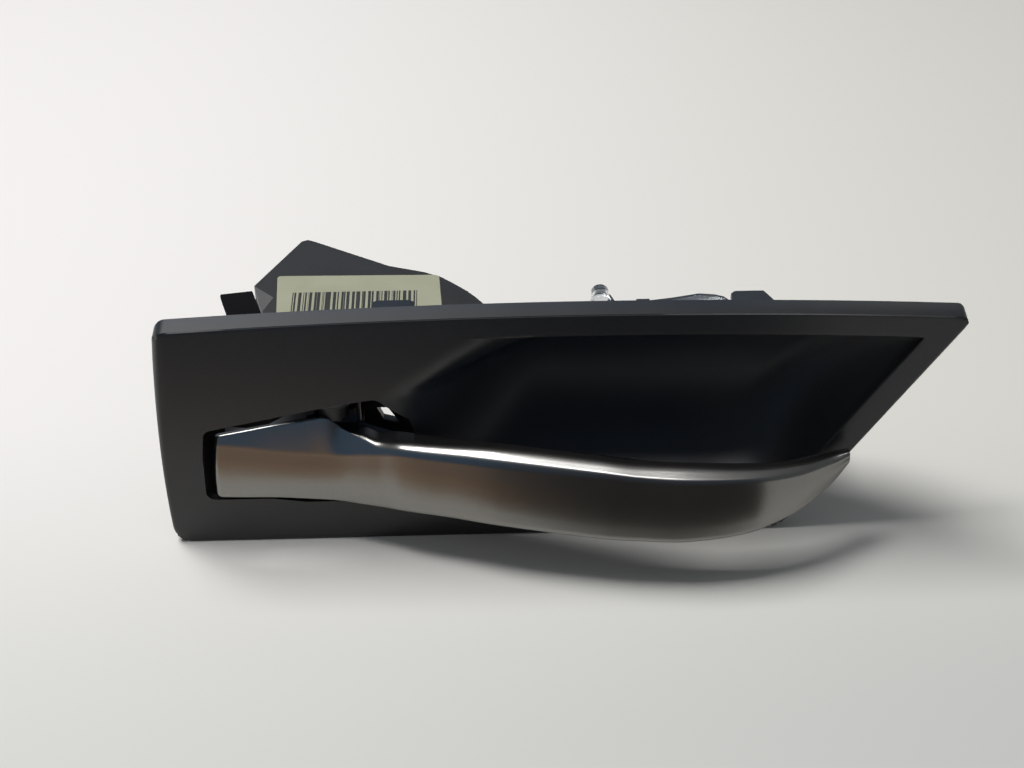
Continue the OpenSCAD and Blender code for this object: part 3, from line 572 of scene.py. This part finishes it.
def bowl_share(s, z, top, grow):
    """Share of the bowl's depth, for the bowl itself or grown by its wall."""
    high, low = top - TOP_BORDER + grow, BOWL_LOW - grow
    t = np.clip((2 * z - high - low) / (high - low), -1, 1)
    run = np.clip((end_s(z) - END_BORDER + grow - s) / (BOWL_END_RUN + grow), 0, 1)
    start = BOWL_START + BOWL_LEAN * np.maximum(0, z - BOWL_LEAN_Z)
    return np.sqrt(1 - t * t) * np.sqrt(1 - (1 - run) ** 2) * smoothstep((s - start) / BOWL_SLOPE)


def edge_round(s, z, top, ends):
    """How far the face's edge is rounded: more along the upper left, little at the foot."""
    gaps = np.clip(np.stack([s - left_s(z), z, top - z, (ends - s) / END_SLANT]), 0.02, None)
    low, high = FACE_ROUND["left_low"], FACE_ROUND["left_high"]
    left = low + (high - low) * smoothstep((z - 15) / 45)
    sizes = np.stack([left, *(np.full(s.shape, FACE_ROUND[k]) for k in ("foot", "top", "end"))])
    share = gaps ** -3.0
    return (sizes * share).sum(axis=0) / share.sum(axis=0)


def face_points(back):
    """The face, or the back of its wall, on columns that lean with the slanted end."""
    left = np.concatenate([[-0.5], EDGE_STEPS[::-1], np.linspace(3, 96, 110)])
    middle = np.linspace(0, 1, 42)[1:-1]
    fine = END_BORDER + BOWL_END_RUN * (1 - np.cos(np.linspace(0, math.pi / 2, 34))) + 0.001
    right = np.concatenate([[END_BORDER + 24], fine[::-1], np.linspace(END_BORDER - 0.3, 2.2, 6),
                            EDGE_STEPS * END_SLANT, [-0.6]])
    low = np.concatenate([[-0.5], EDGE_STEPS[::-1], np.linspace(2.5, BOWL_LOW - 0.2, 8)])
    bowl = -np.cos(np.linspace(0, math.pi, 61))
    high = np.concatenate([np.linspace(TOP_BORDER - 0.2, 2.2, 6), EDGE_STEPS, [-0.5]])
    cols = len(left) + len(middle) + len(right)
    rows = len(low) + len(bowl) + len(high)
    s, z = np.empty((cols, rows)), np.empty((cols, rows))
    base_s = np.concatenate([left, left[-1] + middle * (POINT_S - right[0] - left[-1]),
                             POINT_S - right])
    top = top_z(base_s)[:, None] * np.ones((1, rows))
    z[:, :len(low)] = low
    span = top[:, :1] - TOP_BORDER - BOWL_LOW
    z[:, len(low):len(low) + len(bowl)] = BOWL_LOW + span * (bowl + 1) / 2
    z[:, len(low) + len(bowl):] = top[:, :1] - high
    a, b = len(left), len(left) + len(middle)
    s[:a] = left[:, None] + left_s(z[:a]) * np.clip(1 - left[:, None] / 24, 0, 1)
    ends = end_s(z)
    s[a:b] = left[-1] + middle[:, None] * (ends[a:b] - right[0] - left[-1])
    s[b:] = ends[b:] - right[:, None]
    if back:
        y = WALL + BOWL_DEPTH * bowl_share(s, z, top, WALL)
    else:
        d = distance_to(bezel_outline(), s, z)
        d = np.where((s < left_s(z)) | (z < 0) | (z > top) | (s > ends), 0, d)
        r = edge_round(s, z, top, ends)
        near = np.clip(r - d, 0, None)
        drop = r - np.sqrt(r ** 2 - near ** 2)
        depth = BOWL_DEPTH * bowl_share(s, z, top, 0)
        for _ in range(3):
            depth[1:-1, 1:-1] = (depth[1:-1, 1:-1] * 2 + depth[:-2, 1:-1] + depth[2:, 1:-1]
                                 + depth[1:-1, :-2] + depth[1:-1, 2:]) / 6
        y = drop + depth
    return np.stack([s, y, z], axis=-1)


def bezel_moulding():
    face, back = laid_grid(face_points(False)), laid_grid(face_points(True))
    skin = join(face, back)
    bpy.ops.object.mode_set(mode="EDIT")
    bpy.ops.mesh.select_mode(type="EDGE")
    bpy.ops.mesh.select_all(action="DESELECT")
    bpy.ops.mesh.select_non_manifold(extend=False)
    bpy.ops.mesh.bridge_edge_loops()
    bpy.ops.object.mode_set(mode="OBJECT")
    recalculate(skin)
    over = BEZEL_H + CROWN_RISE + 2
    rim = prism([(-5, -1), (POINT_S + 3, -1), (POINT_S + 3, over), (-5, over)], WALL - 0.4, RIM_DEPTH)
    combine(rim, prism(bezel_outline(WALL), 0, RIM_DEPTH + 1), "DIFFERENCE")
    combine(skin, rim, "UNION")
    combine(skin, prism(bezel_outline(), -1, BOWL_DEPTH + WALL + 1), "INTERSECT")
    combine(skin, prism(rounded(POCKET, [POCKET_R] * len(POCKET)), -1, 12), "DIFFERENCE")
    smooth(skin, 30)
    return skin


def vertex_places(obj):
    """The vertices' places in the bezel's own directions, in millimetres."""
    flat = np.empty(3 * len(obj.data.vertices))
    obj.data.vertices.foreach_get("co", flat)
    return flat.reshape(-1, 3) / MM - (LEFT, FACE, 0)


def move_vertices(obj, points):
    obj.data.vertices.foreach_set("co", place(points).ravel())
    obj.data.update()


def slope_top_rim(obj):
    """The rim's upper side rises from the face to its back edge."""
    p = vertex_places(obj)
    top, front = top_z(p[:, 0]), FACE_ROUND["top"]
    within = (p[:, 1] < RIM_DEPTH + 0.05) & (p[:, 1] > front) & (p[:, 2] > top - WALL - 0.1)
    share = np.where(within, (p[:, 1] - front) / (RIM_DEPTH - front), 0)
    p[:, 1] -= RIM_FORWARD * share
    p[:, 2] += RIM_UP * share * np.clip((p[:, 2] - top + WALL) / WALL, 0, 1)
    move_vertices(obj, p)


bezel = bezel_moulding()
slope_top_rim(bezel)

# Tongues, the felt's rest and the spur, then the bosses, then the light guide's rests and hooks
TAB_Z = top_z(57) - 1.3
small = []
for path, low, high in ((FIRST_TAB, TAB_Z - TAB_T, TAB_Z), (SECOND_TAB, TAB_Z - TAB_T, TAB_Z),
                        (FELT_REST, *FELT_REST_Z), (SPUR, GUIDE_Z + 1.5, GUIDE_Z + 2.6)):
    tongue = prism(path, low, high, "z")
    round_edges(tongue, 0.3)
    small.append(tongue)
for s, z in SCREW_PLACES:
    boss = rod(s, z, WALL - 0.4, EAR_Y, BOSS_R)
    combine(boss, rod(s, z, WALL + 0.8, EAR_Y + 1, SCREW_HOLE_R, 0), "DIFFERENCE")
    small.append(boss)
fixing = rod(*FIXING_PLACE, BOWL_DEPTH + 0.8, 36, FIXING_R)
combine(fixing, rod(*FIXING_PLACE, 27.5, 37, INSERT_R, 0), "DIFFERENCE")
small.append(fixing)
small += [block((s, 3, GUIDE_Z - 2.5), (s + 3, 8, GUIDE_Z)) for s in GUIDE_RESTS]
small += [block((s, 5.5, GUIDE_Z + 1.5), (s + 3.4, y, GUIDE_Z + 2.9))
          for s, y in GUIDE_HOOKS]
for piece in small:
    smooth(piece, 35)
bezel = join(bezel, *small)
finish_piece(bezel, "bezel_moulding", BLACK, "housing", "bezel")


# Lever

def section_values(u):
    """The section's values at places u, as smooth curves through the rows."""
    rows = LEVER_SECTIONS
    last = len(rows) - 1
    k = np.clip(np.searchsorted(rows[:, ALONG], u, side="right") - 1, 0, last - 1)
    before, after = np.clip(np.arange(-1, last), 0, None), np.clip(np.arange(1, last + 2), None, last)
    slope = (rows[after] - rows[before]) / (rows[after, ALONG] - rows[before, ALONG])[:, None]
    h = (rows[k + 1, ALONG] - rows[k, ALONG])[:, None]
    t = (np.asarray(u)[:, None] - rows[k, ALONG][:, None]) / h
    return ((2 * t ** 3 - 3 * t ** 2 + 1) * rows[k] + (t ** 3 - 2 * t ** 2 + t) * h * slope[k]
            + (3 * t ** 2 - 2 * t ** 3) * rows[k + 1] + (t ** 3 - t ** 2) * h * slope[k + 1])


def column(u, *names):
    """Columns of the sections at places u, straight between the rows."""
    return [np.interp(u, LEVER_SECTIONS[:, ALONG], LEVER_SECTIONS[:, name]) for name in names]


def end_shift(u, z):
    """How far the short end bows out at a height."""
    return -LEVER_END_BOW * max(0, 1 - u / END_BOW_LEN) * (1 - ((z - END_BOW_Z) / END_BOW_REACH) ** 2)


def lever_profile(u, v):
    """The shell's line from its lower back edge, round the front, to its upper back edge."""
    pull = 0 if u >= END_ROUND else END_ROUND - math.sqrt(END_ROUND ** 2 - (END_ROUND - u) ** 2)
    draw = pull * END_DRAW
    front = -LEVER_BULGE * v[SWEEP] + pull
    low = LEVER_LOW + v[LOW_RISE] + pull

    def corner(back, rise):
        return np.array([front + back, LEVER_LOW + LEVER_H * rise - draw])

    crease = corner(v[CREASE_BACK], v[CREASE_RISE])
    ridge = corner(v[RIDGE_BACK], v[RIDGE_RISE])
    corners = [np.array([front + v[UNDER_DEPTH] - draw, low]), np.array([front, low]), crease,
               corner(v[SHOULDER_BACK], v[SHOULDER_RISE]), ridge,
               np.array([ridge[0] + v[TOP_DEPTH] - draw, ridge[1] - 0.1])]
    # Radii of the lower edge and of the ridge, which grow where the lever bulges
    belly = float(np.interp(u, (24, 60, 140), (0.8, 2.4, 2.0)))
    edge = float(np.interp(u, (31, 38, 60, 150), (0.7, 1.2, 1.6, 1.0)))
    soft = [0, min(belly, 0.3 * (crease[1] - low), 0.6 * v[UNDER_DEPTH]), CREASE_R, CREASE_R, edge, 0]
    line = []
    last = corners[0]
    for k in range(1, len(corners) - 1):
        a, b, c = corners[k - 1], corners[k], corners[k + 1]
        reach = min(soft[k], 0.45 * np.linalg.norm(a - b), 0.45 * np.linalg.norm(c - b))
        first = b + (a - b) / np.linalg.norm(a - b) * reach
        end = b + (c - b) / np.linalg.norm(c - b) * reach
        for t in np.linspace(0, 1, 7)[:-1]:
            p = last + (first - last) * t
            if k == 2:
                p = p + np.array([-FRONT_BULGE * 4 * t * (1 - t), 0])
            line.append(p)
        for t in np.linspace(0, 1, 9)[:-1]:
            line.append(first * (1 - t) ** 2 + 2 * b * t * (1 - t) + end * t ** 2)
        last = end
    line += [last + (corners[-1] - last) * t for t in np.linspace(0, 1, 7)]
    return line


def lever_plating():
    """The shell: a grid through the sections, closed at its short end and given its wall."""
    tip = LEVER_SECTIONS[-1, ALONG]
    along = np.concatenate([END_ROUND * (1 - np.cos(np.linspace(0, math.pi / 2, 9))),
                            np.linspace(END_ROUND, tip, 240)[1:]])
    values = section_values(along)
    points = np.array([[(LEVER_START + u + end_shift(u, p[1]), *p) for p in lever_profile(u, v)]
                       for u, v in zip(along, values)])
    obj = laid_grid(points)
    end = {tuple(np.round(p, 7)) for p in place(points[0])}
    bpy.ops.object.mode_set(mode="EDIT")
    bpy.ops.mesh.select_mode(type="VERT")
    bpy.ops.mesh.select_all(action="DESELECT")
    bpy.ops.object.mode_set(mode="OBJECT")
    for vertex in obj.data.vertices:
        vertex.select = tuple(np.round(vertex.co, 7)) in end
    bpy.ops.object.mode_set(mode="EDIT")
    bpy.ops.mesh.edge_face_add()
    bpy.ops.object.mode_set(mode="OBJECT")
    recalculate(obj)
    group = obj.vertex_groups.new(name="wall")
    for vertex in obj.data.vertices:
        u = vertex.co.x / MM - LEFT - LEVER_START
        top, under = column(u, TOP_DEPTH, UNDER_DEPTH)
        group.add([vertex.index], min(1.0, min(0.3 * under, 0.6 * top) / SHELL_WALL), "REPLACE")
    apply_modifier(obj, "SOLIDIFY", thickness=SHELL_WALL * MM, offset=-1, vertex_group="wall")
    smooth(obj, 40)
    return obj


finish_piece(lever_plating(), "lever_plating", SATIN, "lever", "lever_shell")


def carry_core(obj):
    """Moves the core's front and top back with the plating over it, and leaves its hub."""
    p = vertex_places(obj)
    u, y, z = p[:, 0] - LEVER_START, p[:, 1], p[:, 2]
    new = column(u, CREASE_BACK, CREASE_RISE, RIDGE_BACK, RIDGE_RISE)
    old = [np.interp(u, SOLID_CREASE[:, 0], SOLID_CREASE[:, k]) for k in (1, 2, 3, 4)]
    crease_back, crease_rise, ridge_back, ridge_rise = (a - b for a, b in zip(new, old))
    share = (z - LEVER_LOW) / LEVER_H
    low = np.clip(share / old[1], 0, 1)
    high = np.clip((share - old[1]) / np.maximum(old[3] - old[1], 0.02), 0, 1)
    back = low * crease_back * (1 - high) + high * ridge_back
    drop = low * crease_rise * (1 - high) + high * ridge_rise
    front = -LEVER_BULGE * column(u, SWEEP)[0]
    keep = 1 - smoothstep((y - front - CORE_FOLLOWS) / CORE_FADES)
    p[:, 1] += keep * np.maximum(back, 0)
    p[:, 2] += keep * np.minimum(drop, 0) * LEVER_H
    move_vertices(obj, p)


# CAD pieces with rounded edges

def refined(node, name, material, body, width=0.25, angle=35):
    """A copy of a CAD node with its edges rounded."""
    obj = frame["nodes"][node].copy()
    obj.data = obj.data.copy()
    bpy.context.collection.objects.link(obj)
    activate(obj)
    bpy.ops.object.parent_clear(type="CLEAR_KEEP_TRANSFORM")
    bpy.ops.object.transform_apply()
    bpy.ops.object.mode_set(mode="EDIT")
    bpy.ops.mesh.select_all(action="SELECT")
    bpy.ops.mesh.remove_doubles(threshold=1e-6)
    bpy.ops.mesh.dissolve_limited(angle_limit=math.radians(0.5))
    bpy.ops.object.mode_set(mode="OBJECT")
    if width:
        round_edges(obj, width, 2, angle)
    smooth(obj, 35)
    return finish_piece(obj, name, material, body, node)


def cut_roof_corner(carrier):
    """A small three-sided facet that falls away at the roof's left corner."""
    high, inner, low = (np.array(FACET[k]) for k in ("high", "inner", "low"))
    path = [inner, inner + (high - inner) * 1.3, (17, 24), (17, 8), inner + (low - inner) * 1.3]
    tool = prism(path, ROOF_Z, ROOF_Z + 1.5, "z")
    p = vertex_places(tool)
    fold = (high - inner) / np.linalg.norm(high - inner)
    away = np.array([fold[1], -fold[0]])
    if away @ (low - inner) < 0:
        away = -away
    fall = FACET_FALL / (away @ (low - inner))
    p[:, 2] = np.where(p[:, 2] < ROOF_Z + 0.1, ROOF_Z - fall * ((p[:, :2] - inner) @ away), p[:, 2])
    move_vertices(tool, p)
    combine(carrier, tool, "DIFFERENCE")


def bend_spring(spring):
    """Bakes the spring's place into its mesh; its coil stays as the CAD node has it."""
    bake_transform(spring)


def lay_askew(label):
    """The label's sides lean and its far edge follows the roof's edge."""
    p = vertex_places(label)
    p[:, 0] += LABEL_LEAN * (LABEL_CORNER[1] - p[:, 1])
    p[:, 1] = np.minimum(p[:, 1] + LABEL_TURN * (p[:, 0] - LABEL_CORNER[0]),
                         np.interp(p[:, 0], *ROOF_EDGE))
    move_vertices(label, p)


cut_roof_corner(refined("carrier", "carrier_moulding", CARRIER, "housing", 0.3))
carry_core(refined("lever_core", "lever_core", CORE, "lever", 0))
refined("pivot_pin", "pivot_pin", STEEL, "housing", 0.3)
refined("pin_clip", "pin_clip", STEEL, "housing", 0.1)
refined("upper_bush", "upper_bush", BUSH, "lever", 0.1)
refined("lower_bush", "lower_bush", BUSH, "lever", 0.1)
refined("thrust_washer", "thrust_washer", STEEL, "housing", 0.1)
bend_spring(refined("return_spring", "return_spring", STEEL, None, 0))
refined("rest_bumper", "rest_bumper", RUBBER, "housing", 0.3)
refined("open_bumper", "open_bumper", RUBBER, "housing", 0.4)
refined("light_guide", "light_guide", clear_plastic(), "housing", 0.2)
lay_askew(refined("label", "blank_label", label_film(), "housing", 0))
refined("felt_pad", "felt_pad", felt(), "housing", 0.3)
refined("carrier_screws", "carrier_screws", STEEL, "housing", 0.3)
refined("shell_screws", "shell_screws", STEEL, "lever", 0.2)
refined("fixing_inserts", "fixing_inserts", BRASS, "housing", 0.15)


# Floor, light and camera

FLOOR_SIZE = 6.0
deselect()
bpy.ops.mesh.primitive_plane_add(size=FLOOR_SIZE)
floor = bpy.context.object
floor.name = "floor"
# The floor's colour has the lamp's falloff painted in: lighter at the left and far side, darker to the
# right and in front
pale = Finish("pale floor", (0.8, 0.79, 0.77), 0.9)
painted_falloff_rightward = pale.x.steps_to(-0.16, 0.2)
painted_near_shade = painted_falloff_rightward.mix((0.705, 0.7, 0.66), (0.635, 0.635, 0.605))
beyond = painted_falloff_rightward.mix((0.86, 0.83, 0.805), (0.77, 0.75, 0.69))
pale.feed("Base Color", pale.y.steps_to(-0.09, 0.05).mix(painted_near_shade, beyond))
floor.data.materials.append(pale.material)


def card(name, low, high, tall, tones, side=None):
    """A card that stands between two places on the floor, which only gloss shows.

    tones: two heights at which its colour changes, each as a pair from and to, and the three
    colours; side: the same for its right part, and where along it that takes over.
    """
    deselect()
    middle = place(((low[0] + high[0]) / 2, (low[1] + high[1]) / 2, tall / 2))
    bpy.ops.mesh.primitive_plane_add(size=1, location=middle)
    made = bpy.context.object
    made.name = name
    made.rotation_euler = (math.pi / 2, 0, math.atan2(high[1] - low[1], high[0] - low[0]))
    made.scale = (math.dist(low, high) * MM, tall * MM, 1)
    shade = Finish(name, (0, 0, 0), 0.9, Emission_Strength=1.0)
    rise = (shade.y + 0.5) * tall

    def toned(turns, colours):
        return rise.steps_to(*turns[1]).mix(rise.steps_to(*turns[0]).mix(*colours[:2]), colours[2])

    tone = toned(*tones)
    if side:
        tone = (shade.x + 0.5).steps_to(*side[2]).mix(tone, toned(*side[:2]))
    shade.feed("Emission Color", tone)
    made.data.materials.append(shade.material)
    made.visible_camera = made.visible_diffuse = made.visible_shadow = False


card("front_card", (-130, -58), (168, -45), 150,
     (((-2, 9), (17, 32)), ((0.52, 0.44, 0.36), (0.41, 0.26, 0.155), (0.08, 0.145, 0.235))),
     (((-2, 9), (20, 50)), ((0.15, 0.14, 0.13), (0.04, 0.036, 0.032), (0.06, 0.08, 0.11)), (0.5, 0.78)))
card("back_card", (-900, 520), (1000, 520), 1300,
     (((0, 100), (200, 900)), ((0.18, 0.2, 0.23), (0.18, 0.21, 0.255), (0.16, 0.19, 0.24))))

world = bpy.data.worlds.new("room")
world.use_nodes = True
world.node_tree.nodes["Background"].inputs["Color"].default_value = (0.88, 0.94, 1.0, 1)
world.node_tree.nodes["Background"].inputs["Strength"].default_value = 0.18
bpy.context.scene.world = world

LAMP_RISE = 1.05


def lamp(name, across, back, wide, deep, energy):
    """A soft lamp above the handle, which stands across and back from the origin."""
    deselect()
    bpy.ops.object.light_add(type="AREA", location=(across, back, LAMP_RISE))
    made = bpy.context.object
    made.name = name
    made.data.shape = "RECTANGLE"
    made.data.size, made.data.size_y = wide, deep
    made.data.energy = energy
    made.rotation_euler = (0, math.atan2(across, LAMP_RISE), 0)
    return made


lamp("ceiling_light", -0.38, 0.14, 0.36, 0.5, 11.0)
lamp("gloss_light", -0.08, -0.2, 0.6, 0.22, 5.0).visible_diffuse = False

bpy.ops.object.camera_add()
camera = bpy.context.object
camera.data.lens = LENS_MM
camera.data.sensor_width = 36.0
camera.data.clip_start = 0.01
turn = Matrix((LOOK_RIGHT, LOOK_UP, tuple(-c for c in LOOK_AHEAD))).transposed().to_4x4()
camera.matrix_world = Matrix.Translation(place(EYE)) @ turn
bpy.context.scene.camera = camera
bpy.context.scene.view_settings.view_transform = "Standard"
